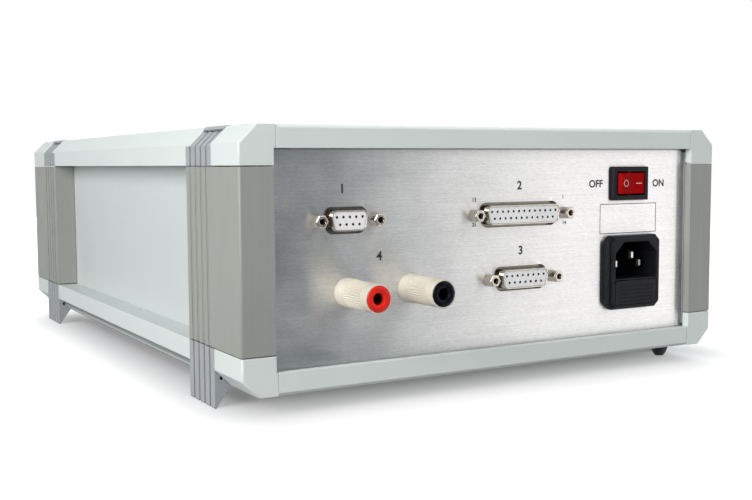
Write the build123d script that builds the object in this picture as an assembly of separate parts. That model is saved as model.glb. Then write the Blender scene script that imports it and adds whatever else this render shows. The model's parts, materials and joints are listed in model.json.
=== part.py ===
from build123d import *
import os
from math import cos, pi, radians, sin, sqrt, tan

# A bench instrument in a rail-and-corner case, all sizes in millimetres.
# X runs to the right as seen from the front, Y to the rear, Z up from the table.

# Case
case_width = 238.0
case_depth = 334.0
case_height = 100.0
foot_height = 8.4
corner_width = 14.6
corner_height = 15.1
corner_depth = 27.3
clip_depth = 27.3
edge_chamfer = 6.8
edge_round = 0.9
wall = 2.4
fit_gap = 0.1

# Front and rear rails
rail_face = 8.8
rail_bevel = 1.2
rail_lip = 3.4
panel_recess = 4.4
panel_thickness = 2.0
panel_slot_depth = 3.0
panel_slot_gap = 1.3
panel_lip = 1.8
reveal_width = 1.9
reveal_slope = 0.7

# Side walls and covers
side_inset = 11.2
side_thickness = 1.5
side_slot_depth = 3.0
slot_skin = 1.4
cover_thickness = 1.5
chamfer_groove_start = 0.4
chamfer_groove_width = 4.2
chamfer_groove_depth = 1.4
cover_screw_inset = 1.8
cover_screw_end = 12.4
cover_screw_head = 2.4
cover_screw_head_height = 0.9
cover_screw_radius = 1.1
cover_screw_length = 3.2

# Ribbed corner clips, posts and feet
rib_count = 5
rib_pitch = 5.8
rib_groove = 1.5
clip_groove_depth = 0.8
post_groove_depth = 0.35
clip_sink = 0.5
pad_drop = 1.5
pad_proud = 0.25
pad_slot_width = 0.5
pad_slot_depth = 1.0
foot_land = 0.6
foot_hole_radius = 0.9
foot_hole_inset = 3.1
foot_hole_height = 3.4

# Rubber bumper stuck on under the rear corner
bumper_height = 7.6
bumper_radius = 4.2
bumper_skirt = 1.2
bumper_tip_radius = 2.0
bumper_bulge = 0.7
bumper_inset_x = 13.7
bumper_inset_y = 18.5

# Rear sockets, where the three plug connectors share one section
pin_pitch = 2.77
pin_row_spacing = 2.84
pin_hole_radius = 0.55
pin_hole_depth = 4.0
shell_height = 7.9
shell_slant = 10.0
shell_round = 2.2
shell_wall = 0.45
shell_reach = 3.8
shell_flange_height = 12.5
shell_flange_thickness = 0.8
shell_flange_end = 2.9
shell_flange_round = 1.2
cutout_height = 10.4
cutout_margin = 2.0
insulator_setback = 0.35
insulator_clearance = 0.1
insulator_body_height = 10.4
insulator_body_depth = 7.0
serial_row_counts = (5, 4)
serial_shell_width = 16.33
serial_screw_spacing = 24.99
serial_inset = 30.8
auxiliary_row_counts = (13, 12)
auxiliary_shell_width = 38.38
auxiliary_screw_spacing = 47.04
auxiliary_offset = -9.4
upper_row_rise = 63.9
probe_row_counts = (8, 7)
probe_shell_width = 24.66
probe_screw_spacing = 33.32
probe_offset = -10.2
probe_rise = 36.9

# Jackscrews beside each connector
jack_across_flats = 4.75
jack_reach = 5.3
jack_thread_radius = 1.4
jack_bore_radius = 1.25
jack_bore_depth = 4.6
jack_bevel = 0.4
jack_stud_length = 5.0
jack_hole_clearance = 0.2

# Coil terminals
terminal_spacing = 28.4
terminal_inset = 45.6
terminal_rise = 36.1
terminal_reach = 24.5
collar_radius = 5.8
collar_length = 5.2
collar_round = 1.2
collar_spigot_radius = 4.4
knob_seat_gap = 0.3
knob_radius = 5.5
knob_waist = 0.15
knob_flute_start = 0.8
knob_flute_length = 13.2
knob_flute_count = 24
knob_flute_width = 0.8
knob_flute_depth = 0.35
ring_radius = 5.0
ring_depth = 3.6
ring_bore_radius = 2.5
ring_dish = 1.1
ring_edge_round = 0.6
stud_radius = 3.0
socket_radius = 2.0
socket_depth = 15.0
stud_tail = 14.0
stud_nut_across_flats = 10.0
stud_nut_thickness = 2.6
washer_thickness = 1.5
running_fit = 0.05

# Mains switch
switch_inset = 33.7
switch_rise = 75.9
switch_width = 21.0
switch_height = 15.0
switch_frame = 2.0
switch_frame_bevel = 0.5
switch_body_width = 18.8
switch_body_height = 12.8
switch_body_depth = 17.0
switch_opening_width = 16.4
switch_opening_height = 10.6
switch_opening_depth = 9.0
switch_tag_width = 4.8
switch_tag_thickness = 0.8
switch_tag_length = 8.0
switch_tag_pitch = 7.0
rocker_half_length = 7.6
rocker_height = 9.8
rocker_valley = 1.5
rocker_facet_angle = 8.0
rocker_tilt = 8.0
rocker_pivot_depth = 1.8
rocker_skirt_angle = 15.0
rocker_pin_radius = 1.0
rocker_pin_length = 0.8

# Mains inlet with fuse drawer
inlet_inset = 32.3
inlet_rise = 36.2
inlet_width = 31.2
inlet_height = 33.2
inlet_corner = 2.6
inlet_flange = 3.2
inlet_flange_bevel = 0.7
inlet_block_width = 28.0
inlet_block_height = 30.6
inlet_block_rise = 1.1
inlet_block_corner = 1.6
inlet_body_width = 27.0
inlet_body_depth = 22.0
inlet_socket_width = 24.4
inlet_socket_height = 16.4
inlet_socket_chamfer = 5.0
inlet_socket_depth = 17.0
inlet_top_margin = 1.6
inlet_shelf = 0.7
blade_width = 2.0
blade_height = 4.0
blade_round = 0.5
blade_spacing = 14.0
blade_drop = 4.0
line_blade_setback = 5.5
earth_blade_setback = 2.8
blade_tail = 8.0
drawer_width = 24.4
drawer_height = 10.8
drawer_depth = 16.0
drawer_gap = 0.2
drawer_face = 2.6
drawer_floor = 1.2
drawer_rib_count = 5
drawer_rib_pitch = 1.7
drawer_rib_width = 0.6
drawer_rib_depth = 0.35
drawer_rib_inset = 2.4
drawer_tab_width = 7.6
drawer_tab_height = 1.1
drawer_tab_rise = 0.5
fuse_length = 20.0
fuse_radius = 2.6
fuse_cap_length = 5.2
fuse_glass_radius = 2.4

# Inside the case
spacer_radius = 3.0
spacer_height = 8.0
spacer_bore = 1.3
board_thickness = 1.6
board_width = 120.0
board_length = 190.0
board_side_gap = 3.0
board_front_margin = 50.0
board_hole_inset = 6.0
core_width = 66.0
core_height = 44.0
core_stack = 30.0
winding_depth = 52.0
winding_width = 40.0
winding_height = 24.0
transformer_side_gap = 2.0
transformer_board_gap = 2.0
foot_plate_thickness = 2.0
foot_plate_length = 82.0
foot_plate_hole = 2.0

# Front panel
window_key_gap = 20.5
window_height = 40.0
window_inset = 10.4
window_rise_from_base = 54.2
window_round = 2.5
window_flange = 2.5
window_flange_thickness = 1.2
window_rise = 0.8
window_clearance = 0.15
key_width = 15.0
key_height = 10.0
key_round = 1.6
key_inset = 20.4
key_column_pitch = 26.0
key_row_pitch = 24.0
key_rise = 2.8
key_travel = 1.2
key_gap = 0.3
key_flange = 1.4
key_flange_thickness = 1.0
key_stem_radius = 2.0
key_crown = 0.5
display_board_side_gap = 6.4
display_board_height = 74.0

# Derived places
half_width = case_width / 2
overhang = terminal_reach - panel_recess
rear_y = (case_depth - overhang) / 2
front_y = rear_y - case_depth
middle_y = (rear_y + front_y) / 2
bottom_z = foot_height
top_z = bottom_z + case_height
middle_z = (bottom_z + top_z) / 2
panel_front = panel_recess - panel_slot_gap
panel_back = panel_recess + panel_thickness + running_fit
lip_back = panel_back + panel_lip
clip_end = corner_depth + clip_depth
rail_end = corner_depth
cover_start = rail_end - rail_lip
chamfer_inner = edge_chamfer + wall * (sqrt(2) - 1)
strap_crease = edge_chamfer + clip_sink * sqrt(2)
panel_y = rear_y - panel_recess
panel_inner_y = panel_y - panel_thickness
front_panel_y = front_y + panel_recess
front_panel_inner_y = front_panel_y + panel_thickness
opening_half = half_width - corner_width
upper_row_z = bottom_z + upper_row_rise
terminal_x = opening_half - terminal_inset
terminal_z = bottom_z + terminal_rise
switch_x = switch_inset - opening_half
switch_z = bottom_z + switch_rise
inlet_x = inlet_inset - opening_half
inlet_z = bottom_z + inlet_rise
key_block_width = key_inset + key_column_pitch + key_width / 2
window_width = 2 * opening_half - window_inset - window_key_gap - key_block_width
window_x = window_inset + window_width / 2 - opening_half
window_z = bottom_z + window_rise_from_base


# Shared shaping helpers

def outline(*points):
    return make_face(Polyline(*points, close=True))


def along_x(section, x_from, x_to):
    """Extrude a section drawn in (Y, Z)."""
    return extrude(Plane.YZ.offset(x_from) * section, amount=x_to - x_from)


def along_y(section, y_from, y_to):
    """Extrude a section drawn in (X, Z)."""
    return extrude(Plane.XZ.offset(-y_to) * section, amount=y_to - y_from)


def along_z(section, z_from, z_to):
    """Extrude a section drawn in (X, Y)."""
    return extrude(Plane.XY.offset(z_from) * section, amount=z_to - z_from)


def rod_y(radius, x, z, y_from, y_to):
    return along_y(Pos(x, z) * Circle(radius), y_from, y_to)


def rod_z(radius, x, y, z_from, z_to):
    return along_z(Pos(x, y) * Circle(radius), z_from, z_to)


def block(x_from, x_to, y_from, y_to, z_from, z_to):
    size = (x_to - x_from, y_to - y_from, z_to - z_from)
    centre = ((x_from + x_to) / 2, (y_from + y_to) / 2, (z_from + z_to) / 2)
    return Pos(*centre) * Box(*size)


def turned_y(profile, x, z, y):
    """Revolve a (radius, reach) profile about a line along Y, with reach pointing to the rear."""
    body = revolve(Plane.XY * profile, axis=Axis.Y)
    return Pos(x, y, z) * body


def to_left(solid):
    return mirror(solid, about=Plane.YZ)


def to_front(solid):
    return mirror(solid, about=Plane.XZ.offset(-middle_y))


def to_bottom(solid):
    return mirror(solid, about=Plane.XY.offset(middle_z))


def four_corners(solid):
    """The same piece at the rear right, rear left, front right and front left corners."""
    rear_left = to_left(solid)
    return {
        "rear_right": solid,
        "rear_left": rear_left,
        "front_right": to_front(solid),
        "front_left": to_front(rear_left),
    }


def corner_section(*points):
    """Points given as (inset from the side, drop from the top) become an (X, Z) outline."""
    return outline(*[(half_width - inset, top_z - drop) for inset, drop in points])


def groove_starts():
    """Insets from the rear face of the grooves that part the ribs."""
    first = corner_depth + clip_depth / 2 - rib_pitch * (rib_count - 2) / 2
    return [first + rib_pitch * index - rib_groove / 2 for index in range(rib_count - 1)]


# Corner blocks, one moulded cap at each of the eight corners

def corner_block():
    solid = along_y(
        corner_section(
            (0, edge_chamfer), (edge_chamfer, 0), (corner_width, 0),
            (corner_width, corner_height), (0, corner_height),
        ),
        rear_y - corner_depth, rear_y,
    )
    hollow = along_y(
        corner_section(
            (wall, corner_height + wall), (wall, chamfer_inner), (chamfer_inner, wall),
            (corner_width + wall, wall), (corner_width + wall, corner_height + wall),
        ),
        rear_y - corner_depth - wall, rear_y - lip_back,
    )
    outer_edges = [
        edge for edge in solid.edges()
        if edge.center().Y > rear_y - edge_round
        and edge.center().X > half_width - edge_chamfer
        and edge.center().Z > top_z - corner_height + wall
    ]
    solid = fillet(outer_edges, edge_round) - hollow
    solid -= block(
        opening_half - wall, opening_half + panel_slot_depth,
        rear_y - panel_back, rear_y - panel_front,
        top_z - corner_height - wall, top_z - rail_face + panel_slot_depth,
    )
    return solid - reveal_cutter(top_z - corner_height - wall, top_z - rail_face)


def reveal_cutter(z_from, z_to):
    """The slope that eases the inner edge of the frame beside the panel."""
    inner_x = opening_half
    slope = outline(
        (inner_x - wall, rear_y + wall), (inner_x + reveal_slope, rear_y + wall),
        (inner_x + reveal_slope, rear_y), (inner_x, rear_y - reveal_width),
        (inner_x - wall, rear_y - reveal_width),
    )
    return along_z(slope, z_from, z_to)


# Posts, the upright extrusions between the corner blocks

def post():
    inner_x = opening_half
    slot_x = inner_x + panel_slot_depth
    side_outer = half_width - side_inset + fit_gap
    side_inner = half_width - side_inset - side_thickness - fit_gap
    web = rear_y - clip_end
    section = outline(
        (half_width, rear_y), (inner_x + reveal_slope, rear_y),
        (inner_x, rear_y - reveal_width), (inner_x, rear_y - panel_front),
        (slot_x, rear_y - panel_front), (slot_x, rear_y - panel_back),
        (inner_x, rear_y - panel_back), (inner_x, rear_y - lip_back),
        (half_width - wall, rear_y - lip_back),
        (half_width - wall, web + side_slot_depth + slot_skin),
        (inner_x, web + side_slot_depth + slot_skin), (inner_x, web),
        (side_inner, web), (side_inner, web + side_slot_depth),
        (side_outer, web + side_slot_depth), (side_outer, web),
        (half_width, web),
    )
    solid = along_z(section, bottom_z + corner_height, top_z - corner_height)
    corner_edge = [
        edge for edge in solid.edges().filter_by(Axis.Z)
        if edge.center().X > half_width - fit_gap and edge.center().Y > rear_y - fit_gap
    ]
    solid = fillet(corner_edge, edge_round)
    for start in groove_starts():
        solid -= block(
            half_width - post_groove_depth, half_width + wall,
            rear_y - start - rib_groove, rear_y - start,
            bottom_z, top_z,
        )
    return solid


# Clips, the ribbed straps that bridge a corner block and its side rail

def clip():
    """Five ribs on the side, of which four run on over the sunk chamfer to a pad on the top."""
    y_from = rear_y - clip_end
    y_step = rear_y - groove_starts()[-1]
    y_to = rear_y - corner_depth
    side = corner_section(
        (0, corner_height), (0, strap_crease), (wall, chamfer_inner), (wall, corner_height),
    )
    slope = corner_section(
        (0, strap_crease), (strap_crease, 0), (corner_width, 0), (corner_width, wall),
        (chamfer_inner, wall), (wall, chamfer_inner),
    )
    solid = along_y(side, y_from, y_to) + along_y(slope, y_step, y_to)
    skin = clip_groove_depth * (sqrt(2) - 1)
    groove = clip_groove_depth / sqrt(2)
    pad_x = strap_crease - pad_drop
    band = corner_section(
        (-wall, corner_height + wall), (-wall, -wall), (pad_x, -wall), (pad_x, pad_drop),
        (pad_x + groove, pad_drop + groove),
        (clip_groove_depth, strap_crease + skin), (clip_groove_depth, corner_height + wall),
    )
    for start in groove_starts():
        solid -= along_y(band, rear_y - start - rib_groove, rear_y - start)
    lift = (clip_sink + pad_proud) / sqrt(2)
    pad = corner_section(
        (pad_x, pad_drop), (pad_x - lift, pad_drop - lift),
        (edge_chamfer - pad_proud * (sqrt(2) - 1), -pad_proud), (corner_width, -pad_proud),
        (corner_width, wall / 2), (strap_crease, wall / 2),
    )
    across = pad_slot_width / sqrt(2)
    down = pad_slot_depth / sqrt(2)
    slot = corner_section(
        (pad_x - down, pad_drop - down), (pad_x - down - across, pad_drop - down + across),
        (pad_x + down - across, pad_drop + down + across), (pad_x + down, pad_drop + down),
    )
    return solid + along_y(pad, y_step, y_to) - along_y(slot, y_step, y_to)


# Feet, the ribbed wedges under the bottom rails

def foot():
    y_from = rear_y - clip_end
    y_to = rear_y - corner_depth
    section = outline(*[
        (half_width - inset, bottom_z + rise) for inset, rise in (
            (0, corner_height), (0, -foot_height), (foot_land, -foot_height), (edge_chamfer, 0),
            (corner_width, 0), (corner_width, wall), (chamfer_inner, wall),
            (wall, chamfer_inner), (wall, corner_height),
        )
    ])
    solid = along_y(section, y_from, y_to)
    for start in groove_starts():
        solid -= block(
            half_width - clip_groove_depth, half_width + wall,
            rear_y - start - rib_groove, rear_y - start,
            -wall, bottom_z + corner_height + wall,
        )
    return solid - rod_y(
        foot_hole_radius, half_width - foot_hole_inset, bottom_z + foot_hole_height,
        y_from - wall, y_to + wall,
    )


# Front and rear rails, which hold the panels in their slots

def end_rail():
    section = outline(*[
        (rear_y - inset, top_z - drop) for inset, drop in (
            (0, rail_bevel), (rail_bevel, 0), (cover_start, 0), (cover_start, cover_thickness),
            (rail_end, cover_thickness), (rail_end, cover_thickness + wall),
            (lip_back, cover_thickness + wall), (lip_back, rail_face),
            (panel_back, rail_face), (panel_back, rail_face - panel_slot_depth),
            (panel_front, rail_face - panel_slot_depth), (panel_front, rail_face), (0, rail_face),
        )
    ])
    reach = opening_half
    return along_x(section, -reach, reach)


# Side rails, which hold the side panels and carry the covers

def side_rail(grooved):
    """A rail with a groove along its chamfer, or else with a tongue over the last rib of each clip."""
    slot_outer = side_inset - fit_gap
    slot_inner = side_inset + side_thickness + fit_gap
    slot_top = corner_height - side_slot_depth
    y_from = front_y + clip_end
    y_to = rear_y - clip_end
    solid = along_y(
        corner_section(
            (0, corner_height), (0, edge_chamfer), (edge_chamfer, 0), (corner_width, 0),
            (corner_width, cover_thickness), (corner_width + rail_lip, cover_thickness),
            (corner_width + rail_lip, cover_thickness + wall), (corner_width, cover_thickness + wall),
            (corner_width, corner_height), (slot_inner, corner_height), (slot_inner, slot_top),
            (slot_outer, slot_top), (slot_outer, corner_height),
        ),
        y_from, y_to,
    )
    chamber = corner_section(
        (wall, corner_height - wall), (wall, chamfer_inner), (chamfer_inner, wall),
        (corner_width - wall, wall), (corner_width - wall, slot_top - wall),
        (slot_outer - wall, slot_top - wall), (slot_outer - wall, corner_height - wall),
    )
    solid -= along_y(chamber, y_from - wall, y_to + wall)
    if grooved:
        start = chamfer_groove_start / sqrt(2)
        end = start + chamfer_groove_width / sqrt(2)
        depth = chamfer_groove_depth / sqrt(2)
        groove = corner_section(
            (start - depth, edge_chamfer - start - depth), (end - depth, edge_chamfer - end - depth),
            (end + depth, edge_chamfer - end + depth), (start + depth, edge_chamfer - start + depth),
        )
        solid -= along_y(groove, y_from - wall, y_to + wall)
    else:
        tongue = corner_section(
            (0, strap_crease), (0, edge_chamfer), (edge_chamfer, 0), (corner_width, 0),
            (corner_width, wall), (chamfer_inner, wall), (wall, chamfer_inner),
        )
        solid += along_y(tongue, front_y + groove_starts()[-1], rear_y - groove_starts()[-1])
    return solid


# Sheet parts of the case

def side_panel():
    outer_x = half_width - side_inset
    rise = corner_height - side_slot_depth + fit_gap
    inset = clip_end - side_slot_depth + fit_gap
    return block(
        outer_x - side_thickness, outer_x,
        front_y + inset, rear_y - inset,
        bottom_z + rise, top_z - rise,
    )


def top_cover():
    """The top sheet, let into the rails so that it lies flush."""
    reach = opening_half - fit_gap
    inset = cover_start + fit_gap
    return block(-reach, reach, front_y + inset, rear_y - inset, top_z - cover_thickness, top_z)


def bottom_cover():
    """The same sheet underneath, drilled for its screws."""
    sheet = to_bottom(top_cover())
    for x, y in cover_screw_places():
        sheet -= rod_z(
            cover_screw_radius + fit_gap, x, y, bottom_z - wall, bottom_z + cover_thickness + wall,
        )
    return sheet


def cover_screw_places():
    x = opening_half - cover_screw_inset
    half_pitch = case_depth / 2 - clip_end - cover_screw_end
    return [
        (side * x, middle_y + end * half_pitch)
        for side in (-1, 1) for end in (-1, 1)
    ]


def drilled_rail(rail):
    """The same rail with its lip cleared for the cover screws."""
    for x, y in cover_screw_places():
        lip_low = top_z - cover_thickness - wall
        rail -= rod_z(cover_screw_radius + fit_gap, x, y, lip_low - wall, top_z + wall)
    return rail


def cover_screws():
    """Four low-headed screws, driven up through the bottom sheet into the rails."""
    low = bottom_z - cover_screw_head_height
    profile = outline(
        (0, 0), (cover_screw_head, cover_screw_head_height / 2), (cover_screw_head, cover_screw_head_height),
        (cover_screw_radius, cover_screw_head_height),
        (cover_screw_radius, cover_screw_head_height + cover_screw_length),
        (0, cover_screw_head_height + cover_screw_length),
    )
    screw = revolve(Plane.XZ * profile, axis=Axis.Z)
    return Compound(children=[Pos(x, y, low) * screw for x, y in cover_screw_places()])


def rubber_bumper():
    """A moulded rubber button that narrows to a blunt tip, stuck over the seam."""
    shoulder = (bumper_radius, -bumper_skirt)
    tip = (bumper_tip_radius, -bumper_height)
    swell = bumper_bulge / sqrt(2)
    bulge = ((shoulder[0] + tip[0]) / 2 + swell, (shoulder[1] + tip[1]) / 2 - swell)
    edges = Polyline(tip, (0, -bumper_height), (0, 0), (bumper_radius, 0), shoulder)
    edges += ThreePointArc(shoulder, bulge, tip)
    body = revolve(Plane.XZ * make_face(edges), axis=Axis.Z)
    return Pos(-half_width + bumper_inset_x, rear_y - bumper_inset_y, bottom_z) * body


# Plug connectors on the rear panel

def d_outline(width, height, corner):
    """A D-shaped outline, wider at the top, drawn about its centre."""
    top = width / 2
    low = top - height * tan(radians(shell_slant))
    face = outline((-low, -height / 2), (low, -height / 2), (top, height / 2), (-top, height / 2))
    return fillet(face.vertices(), corner)


CONNECTORS = {
    "serial": (
        serial_row_counts, serial_shell_width, serial_screw_spacing,
        opening_half - serial_inset, upper_row_z,
    ),
    "auxiliary": (
        auxiliary_row_counts, auxiliary_shell_width, auxiliary_screw_spacing,
        auxiliary_offset, upper_row_z,
    ),
    "probe": (
        probe_row_counts, probe_shell_width, probe_screw_spacing,
        probe_offset, bottom_z + probe_rise,
    ),
}


def connector_shell(name):
    """The pressed metal shell: a flange behind the panel and a D-shaped sleeve through it."""
    row_counts, width, spacing, x, z = CONNECTORS[name]
    flange_back = panel_inner_y - shell_flange_thickness
    flange_width = spacing + 2 * shell_flange_end
    plate = Pos(x, z) * RectangleRounded(flange_width, shell_flange_height, shell_flange_round)
    solid = along_y(plate, flange_back, panel_inner_y)
    mouth = panel_y + shell_reach
    solid += along_y(Pos(x, z) * d_outline(width, shell_height, shell_round), flange_back, mouth)
    inner = d_outline(width - 2 * shell_wall, shell_height - 2 * shell_wall, shell_round - shell_wall)
    solid -= along_y(Pos(x, z) * inner, flange_back - wall, mouth + wall)
    for side in (-1, 1):
        hole_x = x + side * spacing / 2
        solid -= rod_y(
            jack_thread_radius + jack_hole_clearance, hole_x, z, flange_back - wall, panel_inner_y + wall,
        )
    return solid


def connector_insulator(name):
    """The moulded insert with its two rows of contact holes."""
    row_counts, width, spacing, x, z = CONNECTORS[name]
    gap = 2 * (shell_wall + insulator_clearance)
    flange_back = panel_inner_y - shell_flange_thickness
    face_y = panel_y + shell_reach - insulator_setback
    corner = shell_round - shell_wall - insulator_clearance
    tongue = d_outline(width - gap, shell_height - gap, corner)
    solid = along_y(Pos(x, z) * tongue, flange_back, face_y)
    solid += block(
        x - width / 2 - shell_wall, x + width / 2 + shell_wall,
        flange_back - insulator_body_depth, flange_back,
        z - insulator_body_height / 2, z + insulator_body_height / 2,
    )
    holes = []
    for row, count in zip((1, -1), row_counts):
        for index in range(count):
            hole_x = x + (index - (count - 1) / 2) * pin_pitch
            hole_z = z + row * pin_row_spacing / 2
            holes.append(rod_y(pin_hole_radius, hole_x, hole_z, face_y - pin_hole_depth, face_y + wall))
    return solid - holes


def jackscrew_places():
    places = []
    for row_counts, width, spacing, x, z in CONNECTORS.values():
        places.extend([(x - spacing / 2, z), (x + spacing / 2, z)])
    return places


def jackscrew(x, z):
    """A hexagonal pillar with a threaded bore in front and a stud through the panel behind."""
    hexagon = Pos(x, z) * RegularPolygon(jack_across_flats / 2, 6, major_radius=False)
    solid = along_y(hexagon, panel_y, panel_y + jack_reach)
    outer_face = solid.faces().sort_by(Axis.Y)[-1]
    solid = chamfer(outer_face.edges(), jack_bevel)
    stud_end = panel_inner_y - shell_flange_thickness - jack_stud_length
    solid += rod_y(jack_thread_radius, x, z, stud_end, panel_y)
    tip = panel_y + jack_reach
    return solid - rod_y(jack_bore_radius, x, z, tip - jack_bore_depth, tip + wall)


def jackscrews():
    return Compound(children=[jackscrew(x, z) for x, z in jackscrew_places()])


# Coil terminals, a fixed collar and stud with a screwed knob on each

TERMINALS = {
    "red": terminal_x + terminal_spacing / 2,
    "black": terminal_x - terminal_spacing / 2,
}
knob_start = collar_length + knob_seat_gap


def terminal_collar(x):
    """The cream collar that stands on the panel and passes through it."""
    face = outline(
        (stud_radius + running_fit, -panel_thickness), (collar_spigot_radius, -panel_thickness),
        (collar_spigot_radius, 0), (collar_radius, 0), (collar_radius, collar_length),
        (stud_radius + running_fit, collar_length),
    )
    rim = [
        corner for corner in face.vertices()
        if corner.X > collar_radius - fit_gap and corner.Y > collar_length - fit_gap
    ]
    return turned_y(fillet(rim, collar_round), x, terminal_z, panel_y)


def terminal_collars():
    return Compound(children=[terminal_collar(x) for x in TERMINALS.values()])


def terminal_stud(x):
    """The brass stud with its plug socket, and the washer and nut that clamp it."""
    tip = terminal_reach - ring_depth - fit_gap
    tail = -panel_thickness - stud_tail
    profile = outline(
        (0, tail), (stud_radius, tail), (stud_radius, tip), (socket_radius, tip),
        (socket_radius, tip - socket_depth), (0, tip - socket_depth),
    )
    return turned_y(profile, x, terminal_z, panel_y)


def terminal_nut(x):
    y_to = panel_inner_y - washer_thickness
    hexagon = Pos(x, terminal_z) * RegularPolygon(stud_nut_across_flats / 2, 6, major_radius=False)
    nut = along_y(hexagon, y_to - stud_nut_thickness, y_to)
    return nut - rod_y(stud_radius + running_fit, x, terminal_z, panel_inner_y - stud_tail, panel_y)


def terminal_washer(x):
    ring = Circle(collar_radius) - Circle(stud_radius + running_fit)
    return along_y(Pos(x, terminal_z) * ring, panel_inner_y - washer_thickness, panel_inner_y)


def terminal_studs():
    pieces = []
    for x in TERMINALS.values():
        pieces.extend([terminal_stud(x), terminal_nut(x), terminal_washer(x)])
    return Compound(children=pieces)


def terminal_knob(x):
    """The cream knob: fluted near the collar, waisted, and flared round its coloured ring."""
    waist_start = knob_start + knob_flute_start + knob_flute_length
    bore = stud_radius + running_fit
    ring_seat = terminal_reach - ring_depth
    counterbore = ring_radius + running_fit
    waist_mid = (waist_start + terminal_reach) / 2
    silhouette = Line((knob_radius, knob_start), (knob_radius, waist_start))
    silhouette += ThreePointArc(
        (knob_radius, waist_start), (knob_radius - knob_waist, waist_mid), (knob_radius, terminal_reach),
    )
    silhouette += Polyline(
        (knob_radius, terminal_reach), (counterbore, terminal_reach), (counterbore, ring_seat),
        (bore, ring_seat), (bore, knob_start), (knob_radius, knob_start),
    )
    solid = turned_y(make_face(silhouette), x, terminal_z, panel_y)
    flute_from = panel_y + knob_start + knob_flute_start
    rim = knob_radius + fit_gap
    spread = knob_flute_width / (2 * knob_radius)
    flutes = []
    for index in range(knob_flute_count):
        angle = 2 * pi * index / knob_flute_count
        flute = outline(*[
            (x + radius * cos(turn), terminal_z + radius * sin(turn))
            for radius, turn in (
                (knob_radius - knob_flute_depth, angle), (rim, angle - spread), (rim, angle + spread),
            )
        ])
        flutes.append(along_y(flute, flute_from, flute_from + knob_flute_length))
    return solid - flutes


def terminal_ring(x):
    """The glossy coloured ring in the knob's mouth, dished towards the socket."""
    inner = terminal_reach - ring_depth
    face = outline(
        (ring_bore_radius, inner), (ring_radius, inner), (ring_radius, terminal_reach),
        (ring_radius - ring_edge_round, terminal_reach),
        (ring_bore_radius, terminal_reach - ring_dish),
    )
    return turned_y(face, x, terminal_z, panel_y)


# Mains switch

rocker_pivot_y = panel_y + switch_frame - rocker_pivot_depth


def switch_housing():
    face = Pos(switch_x, switch_z) * Rectangle(switch_width, switch_height)
    frame = along_y(face, panel_y, panel_y + switch_frame)
    front_edges = frame.faces().sort_by(Axis.Y)[-1].edges()
    frame = chamfer(front_edges, switch_frame_bevel)
    body_back = panel_inner_y - switch_body_depth
    frame += block(
        switch_x - switch_body_width / 2, switch_x + switch_body_width / 2, body_back, panel_y,
        switch_z - switch_body_height / 2, switch_z + switch_body_height / 2,
    )
    mouth = panel_y + switch_frame
    frame -= block(
        switch_x - switch_opening_width / 2, switch_x + switch_opening_width / 2,
        mouth - switch_opening_depth, mouth + wall,
        switch_z - switch_opening_height / 2, switch_z + switch_opening_height / 2,
    )
    pin_reach = rocker_height / 2 + rocker_pin_length + fit_gap
    pivot = Cylinder(rocker_pin_radius + running_fit, 2 * pin_reach)
    frame -= Pos(switch_x, rocker_pivot_y, switch_z) * pivot
    for offset in (-switch_tag_pitch, 0, switch_tag_pitch):
        frame += block(
            switch_x + offset - switch_tag_thickness / 2, switch_x + offset + switch_tag_thickness / 2,
            body_back - switch_tag_length, body_back,
            switch_z - switch_tag_width / 2, switch_z + switch_tag_width / 2,
        )
    return frame


def switch_rocker():
    """A shallow V on two facets, with rounded ends that sweep past the frame."""
    end_rise = rocker_valley + rocker_half_length * tan(radians(rocker_facet_angle))
    sweep = sqrt(rocker_half_length ** 2 + end_rise ** 2)
    skirt = radians(rocker_skirt_angle)
    low = (sweep * cos(skirt), -sweep * sin(skirt))
    right_end = (rocker_half_length, end_rise)
    left_end = (-rocker_half_length, end_rise)
    left_low = (-low[0], low[1])
    edges = Polyline(left_end, (0, rocker_valley), right_end)
    edges += ThreePointArc(right_end, (sweep, 0), low)
    edges += Line(low, left_low)
    edges += ThreePointArc(left_low, (-sweep, 0), left_end)
    solid = along_z(make_face(edges), -rocker_height / 2, rocker_height / 2)
    solid += Cylinder(rocker_pin_radius, rocker_height + 2 * rocker_pin_length)
    return Pos(switch_x, rocker_pivot_y, switch_z) * Rot(0, 0, rocker_tilt) * solid


# Mains inlet with its fuse drawer

inlet_face_y = panel_y + inlet_flange + inlet_block_rise
inlet_socket_top = inlet_z + inlet_block_height / 2 - inlet_top_margin
inlet_socket_low = inlet_socket_top - inlet_socket_height
inlet_socket_z = (inlet_socket_top + inlet_socket_low) / 2
bay_top = inlet_socket_low - inlet_shelf
bay_low = bay_top - drawer_height - 2 * drawer_gap
drawer_z = (bay_top + bay_low) / 2
drawer_back_y = inlet_face_y - drawer_depth - drawer_face


def cut_corner_plate(width, height, corner):
    plate = Rectangle(width, height)
    return chamfer(plate.vertices(), corner)


def socket_outline():
    """The plug recess, with its two upper corners cut off."""
    half = inlet_socket_width / 2
    high = inlet_socket_height / 2
    cut = inlet_socket_chamfer
    return outline(
        (-half, -high), (half, -high), (half, high - cut), (half - cut, high),
        (cut - half, high), (-half, high - cut),
    )


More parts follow.
